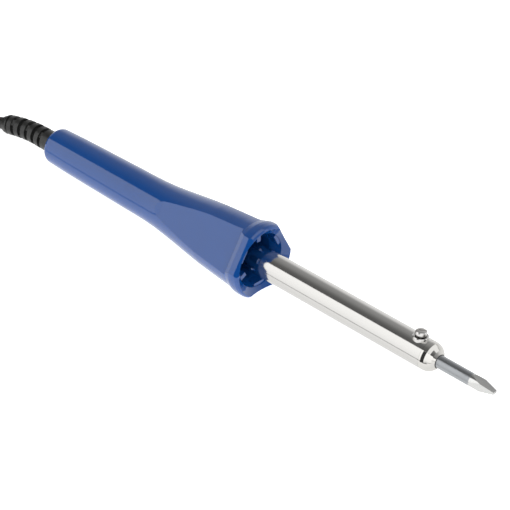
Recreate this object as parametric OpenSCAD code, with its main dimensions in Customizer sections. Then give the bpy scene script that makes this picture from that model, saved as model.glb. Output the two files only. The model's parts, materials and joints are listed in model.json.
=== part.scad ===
// Mains soldering iron with a bell-mouthed handle, a stainless barrel and a screw-clamped chisel tip.
// The iron lies on a table on one flat of its collar and on the rear edge of its handle, so its
// axis rises towards the tip. The origin is on the table, below the middle of the iron, with +X
// towards the tip and +Z up. Millimetres throughout.

/* [Handle] */
// Length of the handle from its rear face to its front rim
handle_len = 126.5; // [115:0.5:135]
// Radius of the handle just in front of its rear edge
rear_r = 8.1; // [7.5:0.1:9]
// Radius of the round stretches of the front collar
collar_r = 16.1; // [15:0.1:18]
// Distance from the axis to each collar flat, measured at the rim
collar_flat = 14.0; // [13.5:0.1:14.8]
// Distance from the axis to each grip flat, measured at its front end
grip_flat = 11.5; // [11.3:0.1:12.2]
// Radius of the mouth where the rim's funnel ends
mouth_r = 11.9; // [11:0.1:12.5]

/* [Barrel] */
// Outer radius of the stainless barrel
barrel_r = 6.0; // [5.5:0.1:6.5]
// Wall thickness of the barrel
barrel_wall = 0.5; // [0.4:0.1:0.8]
// Length of barrel that shows between the rim and the nose cap
barrel_show = 84; // [70:1:95]
// Length of the nose cap's dome in front of the barrel
nose_len = 5.6; // [4:0.1:7]

/* [Tip] */
// Radius of the tip's shank
tip_r = 2.6; // [2:0.1:3]
// Length of tip that stands out of the nose cap
tip_show = 26; // [18:1:34]
// Length of shank held inside the heater
tip_held = 50; // [40:1:50]
// Width of the chisel edge
chisel_w = 2.1; // [1:0.1:3]
// Thickness of the chisel edge
chisel_t = 1.0; // [0.4:0.1:1.5]

/* [Clamp screw] */
// Distance from the clamp screw's axis back from the front of the barrel
screw_back = 4.2; // [3:0.1:5]
// Lean of the clamp screw away from straight up
screw_lean = 0; // [-20:1:20]
// Radius of the clamp screw's thread
screw_r = 1.45; // [1.2:0.05:1.45]
// Radius of the clamp screw's head
screw_head_r = 2.3; // [2:0.1:2.6]

/* [Cord] */
// Diameter of the mains cord
cord_d = 5.4; // [5:0.1:6]
// Length of the flexible strain relief behind the handle
relief_len = 32; // [28:1:36]
// Radius of the strain relief at the handle
relief_r = 4.75; // [4.4:0.05:4.8]

/* [Plug] */
// Radius of the plug's body
plug_r = 18.5; // [17:0.1:18.6]
// Distance between the plug's pins
pin_pitch = 19; // [19:0.1:19.2]
// Diameter of a plug pin
pin_d = 4.8; // [4:0.1:4.8]
// Length of a plug pin
pin_len = 19; // [18:0.5:19]

/* [Hidden] */
$fn = 64;

// Places along the iron's own axis, measured from the handle's rear face.
datum_x = 104.7;                           // the place that stands over the origin
barrel_front = handle_len + barrel_show;
nose_front = barrel_front + nose_len;
tip_front = nose_front + tip_show;
tip_back = nose_front - tip_held;
chisel_len = 10;
disc_seat = 103;                           // shoulder inside the bell
flange_t = 1;
disc_t = 3;
disc_front = disc_seat + flange_t + disc_t;
barrel_back = 98;
funnel_depth = 2.4;
mouth_x = handle_len - funnel_depth;

rear_round = 2.5;
collar_x = 121.5;
strip_end = 124.3;                         // front end of each collar flat's level strip
flat_start = 75;
flat_end = 118.5;
flat_slope = 0.04;
flat_angles = [30, 150, 270];
rib_angles = [90, 210, 330];

// The iron's lean: the rear edge and the bottom collar flat both touch the table.
lean = atan((collar_flat - rear_r) / (handle_len - rear_round));
lift = collar_flat * cos(lean) - (handle_len - datum_x) * sin(lean);

// Clearances.
running = 0.05;
easy = 0.25;

// Heater layers, as radii from the axis.
core_in = tip_r + running;
core_out = core_in + 0.45;
core_back = 158;
core_front = barrel_front + 3;
mica_t = 0.28;
coil_in = core_out + mica_t + 0.07;
coil_out = coil_in + 0.5;
coil_turns = 24;
coil_pitch = 1.5;
coil_back = 164;
mica_back = 162;
mica_front = 201;
wrap_in = coil_out + mica_t + 0.1;
barrel_in = barrel_r - barrel_wall;
lead_r = 0.45;
bush_back = 150;
bush_front = 157.5;

// Wiring space.
block_back = 74;
block_len = 16;
block_w = 12;
block_h = 8;
terminal_pitch = 4;
sheath_end = 58;
core_r = 0.85;
core_y = 1.8;
boss_r = 7.7;

// Strain relief: straight, then one gentle arc that leans towards -Y and down.
relief_straight = 10;
relief_bend_r = 80;
relief_roll = 43;
relief_angle = (relief_len - relief_straight) / relief_bend_r * 180 / PI;
ring_first = 8.6;
ring_pitch = 4.5;
ring_len = 2.4;
ring_count = 5;

// Clamp screw stations, as heights above the axis.
clamp_x = barrel_front - screw_back;
bush_top = 6.8;
washer_low = 7.1;
washer_t = 0.55;
head_low = 7.75;
head_top = 9.2;

// Mains cord on the table. The free cord is 1.5 m long: this stretch, five turns of the hank
// and the lead to the plug.
cord_r = cord_d / 2;
cord_route = [
    [-136.4, -2.2, 4.4], [-141, -3.6, 3.5], [-147, -6.6, 3], [-152.5, -11.2, 2.8],
    [-157.5, -17, 2.8], [-163, -22.5, 2.8], [-169.5, -27, 3], [-177, -29.6, 3.3],
    [-184.5, -30.3, 3.5], [-188, -30.3, 3.5]
];
plug_route = [
    [-188, -24.8, 14.3], [-194, -24.4, 14.6], [-199, -23.1, 15.4], [-204, -20.7, 16.9],
    [-209, -16.6, 19.4], [-214, -12.6, 21.8], [-219, -10.2, 23.3], [-224, -8.9, 24.1],
    [-230, -8.5, 24.4]
];
hank_x = -188;                             // centre of the hank's end nearest the iron
hank_run = 76;
hank_y = -8.5;
hank_low = 0.8;
turn_in_r = 16.3;
turn_out_r = 21.8;
plug_x = -230;
plug_z = 24.4;
neck_len = 8;
cone_len = 10;
drum_len = 16;

// Places pieces drawn along the iron's own axis onto the table.
module on_axis() {
    translate([0, 0, lift])
        rotate([0, -lean, 0])
            translate([-datum_x, 0, 0])
                children();
}

// A solid of revolution about the iron's axis from [x, radius] points.
module turned(points) {
    rotate([0, 90, 0])
        rotate_extrude()
            polygon([for (p = points) [p[1], p[0]]]);
}

// A tube along the iron's axis.
module tube(x0, x1, r_out, r_in) {
    turned([[x0, r_in], [x0, r_out], [x1, r_out], [x1, r_in]]);
}

// A rod along the iron's axis, at y, z.
module rod(x0, x1, r, y = 0, z = 0) {
    translate([x0, y, z])
        rotate([0, 90, 0])
            cylinder(h = x1 - x0, r = r);
}

// A round wire through points.
module wire(points, r) {
    for (i = [0 : len(points) - 2]) {
        step = points[i + 1] - points[i];
        translate(points[i])
            rotate([0, acos(step[2] / norm(step)), atan2(step[1], step[0])])
                cylinder(h = norm(step), r = r, $fn = 24);
    }
    for (i = [1 : len(points) - 2])
        translate(points[i])
            sphere(r = r + 0.12, $fn = 24);
}

// Outline of the grip as [x, growth over rear_r]: a slow taper, then the flare.
grip_outline = [
    [rear_round, 0], [14, 0.4], [30, 0.7], [50, 1.05], [58, 1.15], [64, 1.35], [70, 1.75],
    [76, 2.4], [84, 3.4], [92, 4.5], [100, 5.5], [108, 6.2], [115, 6.75], [119, 7.2]
];

// Cuts one grip flat, the step at its front end, one collar flat and its bevel, on the +Z side.
module flat_cutter() {
    back_flat = collar_flat - (handle_len - collar_x) * tan(lean);
    strip_flat = collar_flat - (handle_len - strip_end) * tan(lean);
    start_flat = grip_flat - (flat_end - flat_start) * flat_slope;
    rotate([90, 0, 0])
        linear_extrude(height = 50, center = true)
            polygon([
                [flat_start - 8, start_flat + 0.8],
                [flat_start, start_flat],
                [flat_end, grip_flat],
                [flat_end + 0.6, grip_flat + 1.1],
                [collar_x, back_flat],
                [strip_end, strip_flat],
                [handle_len + 5, strip_flat - (handle_len + 5 - strip_end) * 0.4],
                [handle_len + 5, 30],
                [flat_start - 8, 30]
            ]);
}

module handle() {
    edge = [for (a = [0 : 15 : 75])
        [rear_round * (1 - sin(a)), rear_r - rear_round * (1 - cos(a))]];
    color("royalblue")
        on_axis()
            difference() {
                union() {
                    difference() {
                        turned(concat(
                            [[0, 0], [0, rear_r - rear_round]],
                            [for (i = [5 : -1 : 1]) edge[i]],
                            [for (p = grip_outline) [p[0], rear_r + p[1]]],
                            [[collar_x, collar_r - 0.1], [123, collar_r], [125, collar_r - 0.1],
                             [126, collar_r - 0.5], [handle_len, collar_r - 1.1], [handle_len, 0]]
                        ));
                        for (a = flat_angles)
                            rotate([a - 90, 0, 0])
                                flat_cutter();
                        handle_hollow();
                    }
                    intersection() {
                        union() {
                            for (a = rib_angles)
                                rotate([a - 90, 0, 0])
                                    translate([disc_front + 0.2, -1, 8])
                                        cube([handle_len - 4 - disc_front - 0.2, 2, 3.6]);
                            for (a = flat_angles)
                                rotate([a - 90, 0, 0]) {
                                    rod(91, disc_seat, 1.55, 0, boss_r);
                                    translate([mouth_x - 4.4, -2.8, mouth_r - 1.6])
                                        cube([4, 5.6, 1.9]);
                                }
                        }
                        turned([[84, 0], [84, 9.2], [disc_seat, 10.2], [mouth_x, 12.6], [mouth_x, 0]]);
                    }
                }
                for (a = flat_angles)
                    rotate([a - 90, 0, 0])
                        rod(92, disc_seat + 1, 1.05, 0, boss_r);
            }
}

// The hollow inside the handle: cord entry, wiring space, disc seat, bell and rim funnel.
module handle_hollow() {
    turned([
        [-1, 0], [-1, 4.2], [6, 4.2], [6, 6], [62, 6.6], [84, 8.2], [disc_seat, 8.9],
        [disc_seat, 9.7], [disc_front, 9.7], [119, 10.2], [mouth_x, mouth_r],
        [handle_len, collar_r - 1.3], [handle_len + 1, collar_r - 1.3], [handle_len + 1, 0]
    ]);
}

// Moves a piece drawn along -X from the handle's rear face to the place s along the relief.
module on_relief(s) {
    rotate([relief_roll, 0, 0]) {
        if (s <= relief_straight)
            translate([-s, 0, 0])
                children();
        else
            translate([-relief_straight, -relief_bend_r, 0])
                rotate([0, 0, (s - relief_straight) / relief_bend_r * 180 / PI])
                    translate([0, relief_bend_r, 0])
                        children();
    }
}

// A round rod that follows the relief's centreline, from x0 to the angle past its bend's start.
module relief_rod(r, x0, angle) {
    rotate([relief_roll, 0, 0]) {
        rod(-relief_straight, x0, r);
        translate([-relief_straight, -relief_bend_r, 0])
            rotate([0, 0, 90])
                rotate_extrude(angle = angle)
                    translate([relief_bend_r, 0])
                        circle(r = r);
    }
}

module strain_relief() {
    sleeve_r = 3.4;
    color("#2b2b2b")
        on_axis()
            difference() {
                union() {
                    relief_rod(sleeve_r, 0, relief_angle);
                    rod(-5.6, 8, 4.15);
                    rod(-5.6, -0.1, relief_r);
                    rod(6.05, 8, 4.8);
                    for (i = [0 : ring_count - 1])
                        on_relief(ring_first + i * ring_pitch)
                            rod(-ring_len / 2, ring_len / 2, relief_r - 0.08 * i);
                    for (i = [0 : ring_count])
                        for (side = [0, 180])
                            on_relief(ring_first + (i - 0.5) * ring_pitch)
                                rotate([side + 90 * (i % 2), 0, 0])
                                    translate([-1.5, -1.3, 3])
                                        cube([3, 2.6, 1.1]);
                    on_relief(relief_len)
                        turned([[0, 0], [0, 3.4], [2.6, 4.3], [3.4, 4.3], [3.4, 0]]);
                }
                relief_rod(cord_r + 0.01, 9, relief_angle + 1);
            }
}

module barrel() {
    color("gainsboro")
        on_axis()
            difference() {
                tube(barrel_back, barrel_front, barrel_r, barrel_in);
                screw_bore(2.12, 0);
            }
}

// A bore along the clamp screw's axis, from the height low upwards.
module screw_bore(r, low) {
    on_screw()
        translate([0, 0, low])
            cylinder(h = 20, r = r);
}

// Places pieces drawn along +Z onto the clamp screw's axis.
module on_screw() {
    translate([clamp_x, 0, 0])
        rotate([-screw_lean, 0, 0])
            children();
}

module nose_cap() {
    color("silver")
        on_axis()
            difference() {
                turned(concat(
                    [[clamp_x - 5, 0], [clamp_x - 5, barrel_in - 0.02],
                     [barrel_front + 0.05, barrel_in - 0.02], [barrel_front + 0.05, barrel_r],
                     [barrel_front + 0.9, barrel_r]],
                    [for (a = [75 : -15 : 30])
                        [barrel_front + 0.9 + 5.4 * cos(a), barrel_r * sin(a)]],
                    [[nose_front, 2.9], [nose_front, 0]]
                ));
                rod(clamp_x - 6, core_front, core_out + 0.02);
                rod(core_front - 0.1, nose_front + 1, tip_r + easy);
                screw_bore(2.12, 0);
            }
}

module clamp_bush() {
    color("silver")
        on_axis()
            difference() {
                on_screw() {
                    translate([0, 0, core_out + 0.1])
                        cylinder(h = 2.4, r = 2.1);
                    translate([0, 0, 5])
                        cylinder(h = bush_top - 0.25 - 5, r = 3.1);
                    translate([0, 0, bush_top - 0.25])
                        cylinder(h = 0.25, r1 = 3.1, r2 = 2.85);
                }
                difference() {
                    rod(clamp_x - 8, clamp_x + 8, barrel_r + 0.01);
                    on_screw()
                        cylinder(h = 20, r = 2.1);
                }
                screw_bore(screw_r + running, 0);
            }
}

module lock_washer() {
    color("dimgray")
        on_axis()
            on_screw()
                translate([0, 0, washer_low])
                    difference() {
                        cylinder(h = washer_t, r = screw_head_r - 0.1);
                        translate([0, 0, -1])
                            cylinder(h = 3, r = screw_r + running);
                    }
}

module clamp_screw() {
    color("silver")
        on_axis()
            on_screw()
                difference() {
                    union() {
                        translate([0, 0, tip_r + running])
                            cylinder(h = head_low + 0.1 - tip_r, r = screw_r);
                        translate([0, 0, head_low])
                            rotate_extrude()
                                polygon([
                                    [0, 0], [screw_head_r, 0], [screw_head_r, 0.85],
                                    [screw_head_r - 0.35, 1.2], [screw_head_r - 1, 1.4],
                                    [0, head_top - head_low]
                                ]);
                    }
                    rotate([0, 0, 40])
                        translate([-3, -0.3, head_top - 0.75])
                            cube([6, 0.6, 2]);
                }
}

module soldering_tip() {
    color("darkgray")
        on_axis()
            union() {
                rod(tip_back, tip_front - chisel_len, tip_r);
                intersection() {
                    rod(tip_front - chisel_len - 0.01, tip_front, tip_r);
                    wedge(chisel_t / 2);
                    rotate([90, 0, 0])
                        wedge(chisel_w / 2);
                }
            }
}

// A wedge along the axis whose faces start at the shank's full width and end half_end from the axis.
module wedge(half_end) {
    start = tip_front - chisel_len - 0.01;
    rotate([90, 0, 0])
        linear_extrude(height = 10, center = true)
            polygon([
                [start, -tip_r], [tip_front, -half_end], [tip_front, half_end], [start, tip_r]
            ]);
}

module heater_core_tube() {
    color("slategray")
        on_axis()
            difference() {
                rod(core_back, core_front - 0.2, core_out);
                rod(tip_back - 0.3, core_front + 1, core_in);
                screw_bore(screw_r + 0.15, 0);
            }
}

module mica_sleeve_inner() {
    color("burlywood")
        on_axis()
            tube(mica_back, mica_front, core_out + 0.02 + mica_t, core_out + 0.02);
}

module heating_coil() {
    color("dimgray")
        on_axis()
            turned(concat(
                [[coil_back, coil_in]],
                [for (i = [0 : coil_turns - 1]) each [
                    [coil_back + i * coil_pitch, coil_in + 0.1],
                    [coil_back + (i + 0.3) * coil_pitch, coil_out],
                    [coil_back + (i + 0.7) * coil_pitch, coil_out]
                ]],
                [[coil_back + coil_turns * coil_pitch, coil_in + 0.1],
                 [coil_back + coil_turns * coil_pitch, coil_in]]
            ));
}

module mica_sleeve_outer() {
    color("burlywood")
        on_axis()
            tube(mica_back, mica_front, coil_out + 0.04 + mica_t, coil_out + 0.04);
}

module glass_wrap() {
    color("ivory")
        on_axis()
            tube(mica_back, mica_front, barrel_in - 0.1, wrap_in);
}

module ceramic_bush() {
    color("white")
        on_axis()
            difference() {
                rod(bush_back, bush_front, barrel_in - 0.1);
                for (side = [-1, 1])
                    rod(bush_back - 1, bush_front + 1, lead_r + 0.1, side * terminal_pitch);
            }
}

module barrel_flange() {
    color("gray")
        on_axis()
            difference() {
                tube(disc_seat, disc_seat + flange_t, 9.5, barrel_r + 0.02);
                for (a = flat_angles)
                    rotate([a - 90, 0, 0])
                        rod(disc_seat - 1, disc_seat + flange_t + 1, 1.4, 0, boss_r);
            }
}

module insulating_disc() {
    color("#1c1c1c")
        on_axis()
            difference() {
                tube(disc_seat + flange_t, disc_front, 9.6, barrel_r + 0.05);
                for (a = flat_angles)
                    rotate([a - 90, 0, 0])
                        rod(disc_seat, disc_front + 1, 1.4, 0, boss_r);
            }
}

module flange_screws() {
    color("dimgray")
        on_axis()
            for (a = flat_angles)
                rotate([a - 90, 0, 0]) {
                    rod(94, disc_front, 1.04, 0, boss_r);
                    rod(disc_front, disc_front + 1.2, 1.55, 0, boss_r);
                }
}

// The two nickel leads, from the outer terminals through the ceramic bush to the heater.
module heater_leads() {
    color("silver")
        on_axis()
            for (side = [-1, 1])
                rod(block_back + block_len - 3, coil_back - 2.5, lead_r, side * terminal_pitch);
}

module lead_sleeves() {
    color("ivory")
        on_axis()
            for (side = [-1, 1])
                difference() {
                    rod(barrel_back + 7, bush_back - 0.5, lead_r + 0.5, side * terminal_pitch);
                    rod(barrel_back + 6, bush_back, lead_r + 0.02, side * terminal_pitch);
                }
}

// From the middle terminal to the rear face of the barrel's flange, between two bosses.
module earth_lead() {
    color("limegreen")
        on_axis()
            wire([
                [block_back + block_len - 3, 0, 0], [92, 0, 0], [96.5, 0, 7.2], [disc_seat, 0, 8]
            ], 0.6);
}

module terminal_block() {
    color("beige")
        on_axis()
            difference() {
                translate([block_back, -block_w / 2, -block_h / 2])
                    cube([block_len, block_w, block_h]);
                for (i = [-1 : 1]) {
                    rod(block_back - 1, block_back + block_len + 1, 1.4, i * terminal_pitch);
                    for (dx = [4, 12])
                        translate([block_back + dx, i * terminal_pitch, 0])
                            cylinder(h = 10, r = 1.3);
                }
            }
}

module terminal_inserts() {
    color("goldenrod")
        on_axis()
            for (i = [-1 : 1])
                difference() {
                    rod(block_back + 1.5, block_back + block_len - 1.5, 1.38, i * terminal_pitch);
                    rod(block_back, block_back + 6, core_r + 0.02, i * terminal_pitch);
                    rod(block_back + 10, block_back + block_len, core_r + 0.02, i * terminal_pitch);
                    for (dx = [4, 12])
                        translate([block_back + dx, i * terminal_pitch, 0])
                            cylinder(h = 10, r = 0.82);
                }
}

module terminal_screws() {
    color("silver")
        on_axis()
            for (i = [-1 : 1])
                for (dx = [4, 12])
                    translate([block_back + dx, i * terminal_pitch, 0]) {
                        translate([0, 0, core_r + 0.05])
                            cylinder(h = 2.2, r = 0.8);
                        translate([0, 0, 2.2])
                            cylinder(h = 1.3, r = 1.25);
                    }
}

// A bar across the sheath, pulled down onto it by two screws, that holds the cord against a pull.
module cord_clamp_bar() {
    color("beige")
        on_axis()
            difference() {
                translate([48, -5.6, cord_r + 0.02])
                    cube([6, 11.2, 2]);
                for (side = [-1, 1])
                    translate([51, side * 4.1, 0])
                        cylinder(h = 10, r = 0.95);
                difference() {
                    rod(47, 55, 12);
                    rod(46, 56, 6.2);
                }
            }
}

module cord_clamp_screws() {
    color("silver")
        on_axis()
            for (side = [-1, 1])
                translate([51, side * 4.1, -3.6])
                    cylinder(h = 7.8, r = 0.9);
}

// The cord's sheath from the strain relief's end to its stripped end inside the handle.
module cord_inside() {
    color("#202020")
        on_axis()
            relief_rod(cord_r, sheath_end, relief_angle);
}

// An outer core, from the sheath's end out to the terminal on the -Y side.
module outer_core() {
    mirror([0, 1, 0])
        wire([
            [sheath_end, core_y, 0], [sheath_end + 3, core_y, 0],
            [block_back - 3, terminal_pitch, 0], [block_back + 5, terminal_pitch, 0]
        ], core_r);
}

module core_live() {
    color("saddlebrown")
        on_axis()
            outer_core();
}

module core_neutral() {
    color("royalblue")
        on_axis()
            rotate([180, 0, 0])
                outer_core();
}

module core_earth() {
    color("limegreen")
        on_axis()
            rod(sheath_end, block_back + 5, core_r);
}

// A tube through route points, with level rings.
module swept(route, r, sides = 10) {
    n = len(route);
    rings = [for (i = [0 : n - 1])
        let (t = route[min(i + 1, n - 1)] - route[max(i - 1, 0)],
             side = [t[1], -t[0], 0] / norm([t[0], t[1]]),
             up = cross(t, side) / norm(t))
        [for (k = [0 : sides - 1])
            route[i] + r * cos(k * 360 / sides) * side - r * sin(k * 360 / sides) * up]];
    polyhedron(
        points = [for (ring = rings) each ring],
        faces = concat(
            [[for (k = [0 : sides - 1]) k]],
            [for (i = [0 : n - 2]) for (k = [0 : sides - 1])
                [i * sides + k, (i + 1) * sides + k,
                 (i + 1) * sides + (k + 1) % sides, i * sides + (k + 1) % sides]],
            [[for (k = [sides - 1 : -1 : 0]) (n - 1) * sides + k]]
        )
    );
}

module mains_cord() {
    color("#202020")
        swept(cord_route, cord_r);
}

module cord_plug_end() {
    color("#202020")
        swept(plug_route, cord_r);
}

// A flat loop with round ends, between two radii.
module racetrack(r_out, r_in, low, high) {
    translate([hank_x, hank_y, low])
        linear_extrude(height = high - low)
            difference() {
                stadium(r_out);
                stadium(r_in);
            }
}

module stadium(r) {
    circle(r = r);
    translate([-hank_run, 0])
        circle(r = r);
    translate([-hank_run, -r])
        square([hank_run, 2 * r]);
}

// Five turns: three in the outer column and two in the inner one.
module cord_hank() {
    color("#202020")
        union() {
            racetrack(turn_out_r + cord_r, turn_in_r - cord_r, hank_low, hank_low + 2 * cord_d);
            racetrack(turn_out_r + cord_r, turn_out_r - cord_r, hank_low, hank_low + 3 * cord_d);
        }
}

// A hook-and-loop strap round the bundle on the hank's +Y side.
module cord_tie() {
    inner_y = hank_y + turn_in_r - cord_r;
    outer_y = hank_y + turn_out_r + cord_r;
    strap_t = 0.75;
    color("#303030")
        difference() {
            translate([hank_x - 20, inner_y - strap_t, 0])
                cube([12, outer_y - inner_y + 2 * strap_t, hank_low + 3 * cord_d + 0.8]);
            translate([hank_x - 21, inner_y - 0.02, hank_low - 0.02])
                cube([14, outer_y - inner_y + 0.04, 3 * cord_d + 0.04]);
        }
}

// Places pieces drawn along +X from the cord's end of the plug to its face, and on to -X.
module on_plug() {
    translate([plug_x, hank_y, plug_z])
        rotate([0, 0, 180])
            children();
}

module plug_body() {
    face = neck_len + cone_len + drum_len;
    color("#262626")
        on_plug()
            difference() {
                turned([
                    [0, 0], [0, 4.2], [neck_len, 5.6], [neck_len + 1.5, 9],
                    [neck_len + cone_len, plug_r - 2], [neck_len + cone_len + 2, plug_r],
                    [face - 0.8, plug_r], [face, plug_r - 0.8], [face, 0]
                ]);
                for (side = [-1, 1]) {
                    rod(face - 12, face + 1, 1.8, side * pin_pitch / 2);
                    translate([face - 12, -3.1, side * plug_r - 2])
                        cube([14, 6.2, 4]);
                }
            }
}

module plug_pins() {
    face = neck_len + cone_len + drum_len;
    color("silver")
        on_plug()
            for (side = [-1, 1]) {
                rod(face - 12, face + 0.1, 1.8, side * pin_pitch / 2);
                rod(face, face + pin_len - 1.5, pin_d / 2, side * pin_pitch / 2);
                translate([0, side * pin_pitch / 2, 0])
                    turned([
                        [face + pin_len - 1.5, 0], [face + pin_len - 1.5, pin_d / 2],
                        [face + pin_len - 0.5, pin_d / 2 - 0.6], [face + pin_len, pin_d / 2 - 1.5],
                        [face + pin_len, 0]
                    ]);
            }
}

// Sprung earth strips, sunk into the body above and below the pins.
module plug_earth_clips() {
    face = neck_len + cone_len + drum_len;
    color("silver")
        on_plug()
            for (side = [-1, 1])
                translate([face - 11.9, -3, side * (plug_r - 1.4) - 0.5])
                    cube([11.9, 6, 1]);
}

handle();
strain_relief();
barrel();
nose_cap();
clamp_bush();
lock_washer();
clamp_screw();
soldering_tip();
heater_core_tube();
mica_sleeve_inner();
heating_coil();
mica_sleeve_outer();
glass_wrap();
ceramic_bush();
barrel_flange();
insulating_disc();
flange_screws();
heater_leads();
lead_sleeves();
earth_lead();
terminal_block();
terminal_inserts();
terminal_screws();
cord_clamp_bar();
cord_clamp_screws();
cord_inside();
core_live();
core_neutral();
core_earth();
mains_cord();
cord_hank();
cord_plug_end();
cord_tie();
plug_body();
plug_pins();
plug_earth_clips();
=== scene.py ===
import json
import math

import bpy
from mathutils import Matrix, Vector


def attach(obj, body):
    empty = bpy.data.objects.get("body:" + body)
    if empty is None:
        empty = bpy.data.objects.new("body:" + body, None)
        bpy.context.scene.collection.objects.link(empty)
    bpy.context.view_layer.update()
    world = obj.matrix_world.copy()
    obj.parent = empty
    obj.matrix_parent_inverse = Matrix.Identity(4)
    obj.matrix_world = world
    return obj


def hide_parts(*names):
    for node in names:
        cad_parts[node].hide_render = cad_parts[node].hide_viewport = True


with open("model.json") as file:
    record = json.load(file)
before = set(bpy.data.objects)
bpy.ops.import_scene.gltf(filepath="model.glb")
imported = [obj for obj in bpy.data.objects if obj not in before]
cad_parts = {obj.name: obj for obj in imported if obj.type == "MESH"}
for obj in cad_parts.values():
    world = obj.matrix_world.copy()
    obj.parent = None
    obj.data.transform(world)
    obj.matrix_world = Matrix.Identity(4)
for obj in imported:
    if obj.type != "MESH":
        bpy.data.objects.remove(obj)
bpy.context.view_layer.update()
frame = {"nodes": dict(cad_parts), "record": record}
nodes = frame["nodes"]

MM = 0.001

# The iron's own axis, as in the CAD: local x is measured from the handle's rear face, in millimetres.
RIM_X = 126.5                    # the handle's front rim
REAR_X = 2.5                     # where the handle's rear edge touches the table
COLLAR_FLAT = 14.0               # from the axis to the collar's bottom flat, at the rim
REAR_R = 8.1                     # from the axis to the rear edge
DATUM = 104.7                    # the place on the axis above the frame's origin
LEAN = math.atan((COLLAR_FLAT - REAR_R) / (RIM_X - REAR_X))
LIFT = COLLAR_FLAT * math.cos(LEAN) - (RIM_X - DATUM) * math.sin(LEAN)
ON_AXIS = (
    Matrix.Translation((0, 0, LIFT * MM))
    @ Matrix.Rotation(-LEAN, 4, "Y")
    @ Matrix.Translation((-DATUM * MM, 0, 0))
)


def at(x, y, z):
    """A place given in millimetres along the iron's own axis, in the row frame in metres."""
    return ON_AXIS @ Vector((x * MM, y * MM, z * MM))


# ---------------------------------------------------------------- camera

VIEW_AZ, VIEW_EL = 43.944, 39.232    # the view's direction, in degrees
VIEW_LEAN = 2.39                 # the lean of the iron for which that direction holds
ROUND = 6                        # how far the view is turned round the iron's own axis
LENS, SENSOR = 131.1, 36         # millimetres
# From the rim's centre to the camera, in metres: to the left, up, and back.
CAMERA_LEFT, CAMERA_UP, CAMERA_BACK = 0.00406, 0.00312, 0.74


def make_camera():
    az, el = math.radians(VIEW_AZ), math.radians(VIEW_EL)
    right = Vector((math.cos(az), math.sin(az), 0))
    back = Vector((math.sin(az) * math.cos(el), -math.cos(az) * math.cos(el), math.sin(el)))
    turn = Matrix.Rotation(-(LEAN - math.radians(VIEW_LEAN)), 3, "Y")
    along = Vector((math.cos(LEAN), 0, math.sin(LEAN)))
    turn = Matrix.Rotation(math.radians(ROUND), 3, along) @ turn
    right, back = turn @ right, turn @ back
    up = back.cross(right)
    data = bpy.data.cameras.new("camera")
    data.lens = LENS
    data.sensor_width = SENSOR
    data.clip_start, data.clip_end = 0.05, 20
    cam = bpy.data.objects.new("camera", data)
    bpy.context.scene.collection.objects.link(cam)
    rim = at(RIM_X, 0, 0)
    place = rim - right * CAMERA_LEFT + up * CAMERA_UP + back * CAMERA_BACK
    cam.matrix_world = Matrix.Translation(place) @ Matrix((right, up, back)).transposed().to_4x4()
    bpy.context.scene.camera = cam


make_camera()

# ---------------------------------------------------------------- cord

CORD_D = 5.4
# The cord's middle line from the strain relief to the hank, and from the hank to the plug, in millimetres.
LEAD_IN = [
    (-136.4, -2.2, 4.4), (-141, -3.6, 3.5), (-147, -6.6, 3), (-152.5, -11.2, 2.8), (-157.5, -17, 2.8),
    (-163, -22.5, 2.8), (-169.5, -27, 3), (-177, -29.6, 3.3), (-184.5, -30.3, 3.5), (-188, -30.3, 3.5),
]
LEAD_OUT = [
    (-188, -24.8, 14.3), (-194, -24.4, 14.6), (-199, -23.1, 15.4), (-204, -20.7, 16.9), (-209, -16.6, 19.4),
    (-214, -12.6, 21.8), (-219, -10.2, 23.3), (-224, -8.9, 24.1), (-230, -8.5, 24.4),
]
HANK_X, HANK_RUN, HANK_Y = -188, 76, -8.5    # near end, length of the straight runs, middle
IN_R, OUT_R = 16.3, 21.8         # the inner and outer columns of cord, from the middle
LOW, MID, TOP = 3.5, 8.9, 14.3   # heights of the three layers
TURNS = 5
MOVE = 26                        # length over which a turn moves to its next place
NEAR_END = 56                    # nominal length of the bend at the near end
RUN_STEPS, BEND_STEPS = 20, 24   # points on a straight run and on a bend
CORD_STEP = 2.5                  # distance between points on the two leads


def smooth(t):
    t = min(max(t, 0.0), 1.0)
    return t * t * (3 - 2 * t)


def spline_points(points, step):
    """Points about step apart on a Catmull-Rom curve through the given ones."""
    out = []
    pts = [Vector(p) for p in points]
    for i in range(len(pts) - 1):
        p0 = pts[i - 1] if i else pts[0] * 2 - pts[1]
        p1, p2 = pts[i], pts[i + 1]
        p3 = pts[i + 2] if i + 2 < len(pts) else pts[i + 1] * 2 - pts[i]
        n = max(1, round((p2 - p1).length / step))
        for k in range(n):
            t = k / n
            out.append(0.5 * ((2 * p1) + (p2 - p0) * t + (2 * p0 - 5 * p1 + 4 * p2 - p3) * t * t
                              + (3 * p1 - p0 - 3 * p2 + p3) * t ** 3))
    out.append(pts[-1])
    return out


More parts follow.
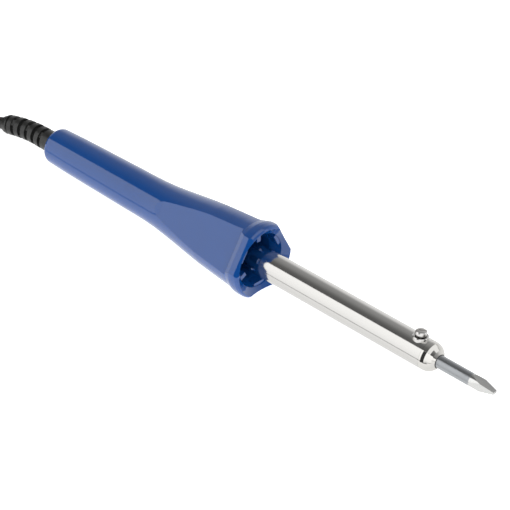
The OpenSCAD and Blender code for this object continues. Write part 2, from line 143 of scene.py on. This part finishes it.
def hank_points():
    """Five turns. Each runs out on -Y, round the far end, back on +Y and round the near end, and moves to
    its next place in the bundle on the way back."""
    places = [(OUT_R, LOW), (IN_R, LOW), (IN_R, MID), (OUT_R, MID), (OUT_R, TOP), (IN_R, TOP)]
    out = []
    for turn in range(TURNS):
        (r0, z0), (r1, z1) = places[turn], places[turn + 1]
        window = TURNS - 1 - turn

        def place_at(back):
            f = smooth((back - MOVE * window) / MOVE)
            return r0 + (r1 - r0) * f, z0 + (z1 - z0) * f

        for k in range(RUN_STEPS):
            out.append((HANK_X - HANK_RUN * k / RUN_STEPS, HANK_Y - r0, z0))
        for k in range(BEND_STEPS):
            a = math.pi * k / BEND_STEPS
            out.append((HANK_X - HANK_RUN - r0 * math.sin(a), HANK_Y - r0 * math.cos(a), z0))
        for k in range(RUN_STEPS):
            r, z = place_at(HANK_RUN * k / RUN_STEPS)
            out.append((HANK_X - HANK_RUN + HANK_RUN * k / RUN_STEPS, HANK_Y + r, z))
        for k in range(BEND_STEPS):
            a = math.pi * k / BEND_STEPS
            r, z = place_at(HANK_RUN + NEAR_END * k / BEND_STEPS)
            out.append((HANK_X + r * math.sin(a), HANK_Y + r * math.cos(a), z))
    return out


def make_cord():
    lead = spline_points(LEAD_IN, CORD_STEP)
    last = spline_points(LEAD_OUT, CORD_STEP)
    points = [Vector(p) * MM for p in lead[:-1] + [Vector(p) for p in hank_points()] + last]
    curve = bpy.data.curves.new("mains_cord_run", "CURVE")
    curve.dimensions = "3D"
    curve.bevel_depth = CORD_D / 2
    curve.bevel_resolution = 8
    curve.use_fill_caps = True
    line = curve.splines.new("POLY")
    line.points.add(len(points) - 1)
    for p, q in zip(line.points, points):
        p.co = (*q, 1)
        # The bevel is in millimetres. Blender adds a point's radius to the curve's box, so it is kept small.
        p.radius = MM
    line.use_smooth = True
    obj = bpy.data.objects.new("mains_cord_run", curve)
    bpy.context.scene.collection.objects.link(obj)
    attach(obj, "iron")
    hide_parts("mains_cord", "cord_hank", "cord_plug_end")
    return obj


cord = make_cord()

# ---------------------------------------------------------------- materials


class Nodes:
    """Short names for building a node tree."""

    def __init__(self, tree):
        self.tree = tree
        tree.nodes.clear()

    def new(self, kind, **settings):
        n = self.tree.nodes.new(kind)
        for k, v in settings.items():
            setattr(n, k, v)
        return n

    def link(self, a, b):
        self.tree.links.new(a, b)

    def math(self, op, a, b=0.0, c=None):
        n = self.new("ShaderNodeMath", operation=op)
        for i, v in enumerate((a, b) if c is None else (a, b, c)):
            if isinstance(v, (int, float)):
                n.inputs[i].default_value = v
            else:
                self.link(v, n.inputs[i])
        return n.outputs[0]

    def mix(self, fac, a, b):
        n = self.new("ShaderNodeMix", data_type="RGBA")
        for socket, v in ((n.inputs["Factor"], fac), (n.inputs[6], a), (n.inputs[7], b)):
            if isinstance(v, tuple):
                socket.default_value = (*v, 1)
            else:
                self.link(v, socket)
        return n.outputs[2]


def place_nodes(n, stretch=(1, 1, 1)):
    """Object coordinates turned onto the iron's own axis, plain and then stretched."""
    coord = n.new("ShaderNodeTexCoord")
    turn = n.new("ShaderNodeMapping", vector_type="POINT")
    turn.inputs["Rotation"].default_value = (0, LEAN, 0)
    n.link(coord.outputs["Object"], turn.inputs["Vector"])
    scale = n.new("ShaderNodeMapping", vector_type="POINT")
    scale.inputs["Scale"].default_value = stretch
    n.link(turn.outputs[0], scale.inputs["Vector"])
    return turn.outputs[0], scale.outputs[0]


def material(name, color, rough, metal=0.0, vary=0.12, rough_vary=0.06, grain=600, bump=0.02, depth=0.00005,
             stretch=(1, 1, 1), ior=1.5, sheen=0.0, spec=0.5, paint=None):
    """A Principled surface with a broad change of colour and roughness, and a fine grain in its height."""
    m = bpy.data.materials.new(name)
    m.use_nodes = True
    n = Nodes(m.node_tree)
    out = n.new("ShaderNodeOutputMaterial")
    b = n.new("ShaderNodeBsdfPrincipled")
    n.link(b.outputs[0], out.inputs[0])
    b.inputs["Metallic"].default_value = metal
    b.inputs["IOR"].default_value = ior
    b.inputs["Specular IOR Level"].default_value = spec
    b.inputs["Sheen Weight"].default_value = sheen
    own, spread = place_nodes(n, stretch)
    broad = n.new("ShaderNodeTexNoise")
    broad.inputs["Scale"].default_value = grain / 12
    broad.inputs["Detail"].default_value = 3
    n.link(spread, broad.inputs["Vector"])
    fine = n.new("ShaderNodeTexNoise")
    fine.inputs["Scale"].default_value = grain
    fine.inputs["Detail"].default_value = 4
    n.link(spread, fine.inputs["Vector"])
    dark = tuple(c * (1 - vary) for c in color)
    light = tuple(min(1.0, c * (1 + vary)) for c in color)
    shade = n.mix(broad.outputs["Fac"], dark, light)
    roughness = n.math("MULTIPLY_ADD", fine.outputs["Fac"], 2 * rough_vary, rough - rough_vary)
    if paint:
        shade, roughness = paint(n, own, shade, roughness)
    n.link(shade, b.inputs["Base Color"])
    n.link(roughness, b.inputs["Roughness"])
    hill = n.new("ShaderNodeBump")
    hill.inputs["Strength"].default_value = bump
    hill.inputs["Distance"].default_value = depth
    n.link(fine.outputs["Fac"], hill.inputs["Height"])
    n.link(hill.outputs[0], b.inputs["Normal"])
    return m


def tinned(n, own, shade, roughness):
    """The plating ends near the chisel, where the solder's bright coat starts with an uneven edge."""
    xyz = n.new("ShaderNodeSeparateXYZ")
    n.link(own, xyz.inputs[0])
    wobble = n.new("ShaderNodeTexNoise")
    wobble.inputs["Scale"].default_value = 700
    n.link(own, wobble.inputs["Vector"])
    edge = n.math("MULTIPLY_ADD", wobble.outputs["Fac"], TINNED_WOBBLE, TINNED_FROM)
    past = n.math("SUBTRACT", xyz.outputs[0], edge)
    fac = n.math("MULTIPLY_ADD", past, TINNED_EDGE, 0.5)
    clamp = n.new("ShaderNodeClamp")
    n.link(fac, clamp.inputs[0])
    shade = n.mix(clamp.outputs[0], shade, TINNED_COLOR)
    rough = n.new("ShaderNodeMix", data_type="FLOAT")
    n.link(clamp.outputs[0], rough.inputs[0])
    n.link(roughness, rough.inputs[2])
    rough.inputs[3].default_value = TINNED_ROUGH
    return shade, rough.outputs[0]


# Where the solder starts, along the turned object coordinate, and how its edge and surface look.
TINNED_FROM = (231.2 - DATUM) * MM + LIFT * MM * math.sin(LEAN)
TINNED_WOBBLE = 0.0006           # how far the edge wanders, in metres
TINNED_EDGE = 6000               # how sharp the edge is, per metre
TINNED_COLOR, TINNED_ROUGH = (0.6, 0.6, 0.59), 0.16

MATERIALS = {
    "handle_plastic": material("handle_plastic", (0.003, 0.062, 0.27), 0.08, vary=0.05, rough_vary=0.03,
        grain=900, bump=0.015, depth=0.00003, ior=1.66),
    "relief_rubber": material("relief_rubber", (0.013, 0.013, 0.0125), 0.4, grain=1500, bump=0.15,
        depth=0.00006),
    "cord_rubber": material("cord_rubber", (0.012, 0.012, 0.012), 0.38, grain=1200, bump=0.1,
        depth=0.00005),
    "stainless": material("stainless", (0.58, 0.572, 0.555), 0.12, metal=1, vary=0.05, rough_vary=0.04,
        grain=900, bump=0.05, depth=0.00003, stretch=(0.03, 1, 1)),
    "nose_chrome": material("nose_chrome", (0.6, 0.59, 0.565), 0.06, metal=1, vary=0.05, rough_vary=0.03,
        grain=1200, bump=0.03, depth=0.00003),
    "screw_steel": material("screw_steel", (0.62, 0.61, 0.6), 0.12, metal=1, grain=1800, bump=0.08,
        depth=0.00004),
    "dark_steel": material("dark_steel", (0.2, 0.195, 0.19), 0.32, metal=1, grain=1500, bump=0.1,
        depth=0.00004),
    "tip_plating": material("tip_plating", (0.36, 0.375, 0.39), 0.3, metal=1, vary=0.1, grain=1500,
        bump=0.12, depth=0.00005, paint=tinned),
    "mica": material("mica", (0.42, 0.3, 0.16), 0.3, vary=0.25, grain=900, bump=0.2, stretch=(0.2, 1, 1)),
    "resistance_wire": material("resistance_wire", (0.2, 0.18, 0.16), 0.4, metal=1, grain=1500),
    "nickel_wire": material("nickel_wire", (0.5, 0.47, 0.42), 0.25, metal=1, grain=1500),
    "glass_cloth": material("glass_cloth", (0.7, 0.68, 0.6), 0.8, vary=0.2, grain=2600, bump=0.6,
        depth=0.0001),
    "steatite": material("steatite", (0.8, 0.77, 0.7), 0.55, grain=1200, bump=0.15),
    "phenolic": material("phenolic", (0.006, 0.008, 0.012), 0.6, vary=0.3, grain=1100, bump=0.2,
        spec=0.15),
    "block_plastic": material("block_plastic", (0.6, 0.56, 0.44), 0.4, grain=900, bump=0.1),
    "terminal_brass": material("terminal_brass", (0.7, 0.5, 0.2), 0.22, metal=1, grain=1500, bump=0.1),
    "live_insulation": material("live_insulation", (0.2, 0.08, 0.03), 0.4, grain=1000),
    "neutral_insulation": material("neutral_insulation", (0.03, 0.1, 0.4), 0.4, grain=1000),
    "earth_insulation": material("earth_insulation", (0.2, 0.42, 0.05), 0.4, vary=0.6, grain=1000,
        stretch=(1, 3, 3)),
    "tie_fabric": material("tie_fabric", (0.03, 0.03, 0.033), 0.85, vary=0.5, grain=3000, bump=0.8,
        depth=0.0002, sheen=0.3),
    "plug_rubber": material("plug_rubber", (0.02, 0.02, 0.02), 0.45, grain=1500, bump=0.25,
        depth=0.00008),
    "plug_nickel": material("plug_nickel", (0.62, 0.59, 0.53), 0.16, metal=1, grain=1500, bump=0.05),
}

slot_of = {s["node"]: s["material_slot"] for s in frame["record"]["subparts"]}
for name, obj in nodes.items():
    obj.data.materials.clear()
    obj.data.materials.append(MATERIALS[slot_of[name]])
cord.data.materials.append(MATERIALS["cord_rubber"])

# ---------------------------------------------------------------- strap round the hank


STRAP_THICK = 0.36
STRAP_FRONT, STRAP_BACK = HANK_X - 8, HANK_X - 20
STRAP_LOW, STRAP_STEP, STRAP_TOP = 0.42, 11.75, 17.05    # its bottom, where it steps in, and its top
STRAP_CORNER = 0.6               # radius of its corners
TAB_INSET = 0.1                  # how much narrower the tab is on each side
TAB_HEIGHTS = (3, 4, 6, 8, 10, 12, 13)


def rounded_loop(corners, radius, steps=6):
    """A closed loop through corners in a plane, each corner rounded by a quadratic curve."""
    out = []
    n = len(corners)
    for i in range(n):
        a, b, c = (Vector(corners[(i + k) % n]) for k in (-1, 0, 1))
        start = b + (a - b).normalized() * radius
        end = b + (c - b).normalized() * radius
        for k in range(steps + 1):
            t = k / steps
            out.append(start * (1 - t) ** 2 + b * (2 * t * (1 - t)) + end * t * t)
    return out


def band(name, loop, closed, x0, x1, thick):
    """A strip of cloth along a loop in the YZ plane, from x0 to x1, with soft edges. All in millimetres."""
    n = len(loop)
    out = []
    for i in range(n):
        before = loop[(i - 1) % n] if closed or i else loop[0]
        after = loop[(i + 1) % n] if closed or i < n - 1 else loop[-1]
        along = (after - before).normalized()
        out.append(Vector((along.y, -along.x)))
    rim = [
        (0.0, 0.0), (0.0, 0.55), (0.03, 0.85), (0.08, 1.0), (0.92, 1.0), (0.97, 0.85), (1.0, 0.55), (1.0, 0.0),
    ]
    verts, faces = [], []
    for p, q in zip(loop, out):
        for u, v in rim:
            place = p + q * (thick * v)
            verts.append(((x0 + (x1 - x0) * u) * MM, place.x * MM, place.y * MM))
    m = len(rim)
    for i in range(n if closed else n - 1):
        j = (i + 1) % n
        for k in range(m):
            h = (k + 1) % m
            faces.append((i * m + k, i * m + h, j * m + h, j * m + k))
    if not closed:
        faces.append(tuple(range(m)))
        faces.append(tuple((n - 1) * m + k for k in reversed(range(m))))
    mesh = bpy.data.meshes.new(name)
    mesh.from_pydata(verts, [], faces)
    mesh.polygons.foreach_set("use_smooth", [True] * len(faces))
    mesh.update()
    obj = bpy.data.objects.new(name, mesh)
    bpy.context.scene.collection.objects.link(obj)
    mesh.materials.append(MATERIALS["tie_fabric"])
    return obj


def make_tie():
    """The strap hugs the bundle, steps down to the lower inner column, and laps over on its outer side."""
    inner_y, outer_y = HANK_Y + IN_R - CORD_D / 2, HANK_Y + OUT_R + CORD_D / 2
    corners = [
        (inner_y, STRAP_LOW), (inner_y, STRAP_STEP), (inner_y + 5.2, STRAP_TOP - 1.2),
        (inner_y + 6.4, STRAP_TOP), (outer_y, STRAP_TOP), (outer_y, STRAP_LOW),
    ]
    loop = rounded_loop(corners, STRAP_CORNER)
    strap = band("tie_strap", loop, True, STRAP_BACK, STRAP_FRONT, -STRAP_THICK)
    lap = [Vector((outer_y + STRAP_THICK, z)) for z in TAB_HEIGHTS]
    tab = band("tie_tab", lap, False, STRAP_BACK + TAB_INSET, STRAP_FRONT - TAB_INSET, STRAP_THICK)
    for obj in (strap, tab):
        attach(obj, "iron")
        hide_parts("cord_tie")


make_tie()

# ---------------------------------------------------------------- floor and light


FLOOR_HALF, FLOOR_Z = 6, -0.0002
FLOOR_GLOW = 0.85                # keeps the ground near white where little light falls on it


def make_floor():
    mesh = bpy.data.meshes.new("floor")
    s, z = FLOOR_HALF, FLOOR_Z
    mesh.from_pydata([(-s, -s, z), (s, -s, z), (s, s, z), (-s, s, z)], [], [(0, 1, 2, 3)])
    floor = bpy.data.objects.new("floor", mesh)
    bpy.context.scene.collection.objects.link(floor)
    m = bpy.data.materials.new("floor")
    m.use_nodes = True
    n = Nodes(m.node_tree)
    out = n.new("ShaderNodeOutputMaterial")
    b = n.new("ShaderNodeBsdfPrincipled")
    b.inputs["Base Color"].default_value = (0.9, 0.9, 0.9, 1)
    b.inputs["Roughness"].default_value = 0.9
    b.inputs["Specular IOR Level"].default_value = 0.0
    b.inputs["Emission Color"].default_value = (1, 1, 1, 1)
    b.inputs["Emission Strength"].default_value = FLOOR_GLOW
    n.link(b.outputs[0], out.inputs[0])
    mesh.materials.append(m)
    floor.visible_glossy = False


# Brightness of the studio round the iron's long axis, by angle: 0 is level towards -Y, 90 straight up.
STUDIO = [
    (-180, 1.1), (-130, 1.1), (-97, 1.15), (-51, 1.25), (-32, 1.35), (-30, 0.3), (-27, 0.3), (-25.5, 1.4),
    (14, 1.55), (52, 1.62), (53.5, 0.1), (60, 0.14), (79, 0.18), (105, 0.34), (136, 0.46), (160, 1.0),
    (180, 1.1),
]

# A dark card on the near side, square to the iron: the share of that light left, by how far the direction
# points along +X. The camera sees it in surfaces that face forwards, such as the nose, and not in the barrel.
CARD = [(-1, 1), (-0.36, 1), (-0.3, 0.04), (0.22, 0.04), (0.3, 1), (1, 1)]
CARD_MIDDLE, CARD_REACH = 10, 42     # the angles that the card covers: its middle, and degrees to each side

# A lamp overhead, towards the tip: angles and share along +X, each as a middle and a reach, and its level.
LAMP_MIDDLE, LAMP_REACH = 100, 46
LAMP_X, LAMP_X_REACH = 0.3, 0.35
LAMP_LEVEL = 0.8


def make_world():
    world = bpy.data.worlds.new("studio")
    bpy.context.scene.world = world
    world.use_nodes = True
    n = Nodes(world.node_tree)
    out = n.new("ShaderNodeOutputWorld")
    light = n.new("ShaderNodeBackground")
    n.link(light.outputs[0], out.inputs[0])
    coord = n.new("ShaderNodeTexCoord")
    xyz = n.new("ShaderNodeSeparateXYZ")
    n.link(coord.outputs["Generated"], xyz.inputs[0])
    toward = n.math("MULTIPLY", xyz.outputs[1], -1)
    angle = n.math("ARCTAN2", xyz.outputs[2], toward)
    place = n.math("MULTIPLY_ADD", angle, 1 / (2 * math.pi), 0.5)
    ramp = n.new("ShaderNodeValToRGB")
    n.link(place, ramp.inputs[0])
    e = ramp.color_ramp.elements
    while len(e) > 1:
        e.remove(e[0])
    top = max(v for _, v in STUDIO)
    for i, (deg, v) in enumerate(STUDIO):
        spot = e[0] if i == 0 else e.new(deg / 360 + 0.5)
        spot.position = deg / 360 + 0.5
        g = v / top
        spot.color = (g, g, g, 1)
    card = n.new("ShaderNodeValToRGB")
    ahead = n.math("MULTIPLY_ADD", xyz.outputs[0], 0.5, 0.5)
    n.link(ahead, card.inputs[0])
    c = card.color_ramp.elements
    for i, (x, v) in enumerate(CARD):
        spot = c[i] if i < 2 else c.new((x + 1) / 2)
        spot.position = (x + 1) / 2
        spot.color = (v, v, v, 1)
    beside = n.math("COMPARE", angle, math.radians(CARD_MIDDLE), math.radians(CARD_REACH))
    clear = n.math("SUBTRACT", 1.0, beside)
    shade = n.math("MAXIMUM", card.outputs[0], clear)
    side = n.mix(shade, (0.0, 0.0, 0.0), ramp.outputs[0])
    over = n.math("COMPARE", angle, math.radians(LAMP_MIDDLE), math.radians(LAMP_REACH))
    forward = n.math("COMPARE", xyz.outputs[0], LAMP_X, LAMP_X_REACH)
    total = n.mix(n.math("MULTIPLY", over, forward), side, (LAMP_LEVEL, LAMP_LEVEL, LAMP_LEVEL))
    n.link(total, light.inputs[0])
    light.inputs[1].default_value = top


make_floor()
make_world()
bpy.context.scene.view_settings.view_transform = "Standard"
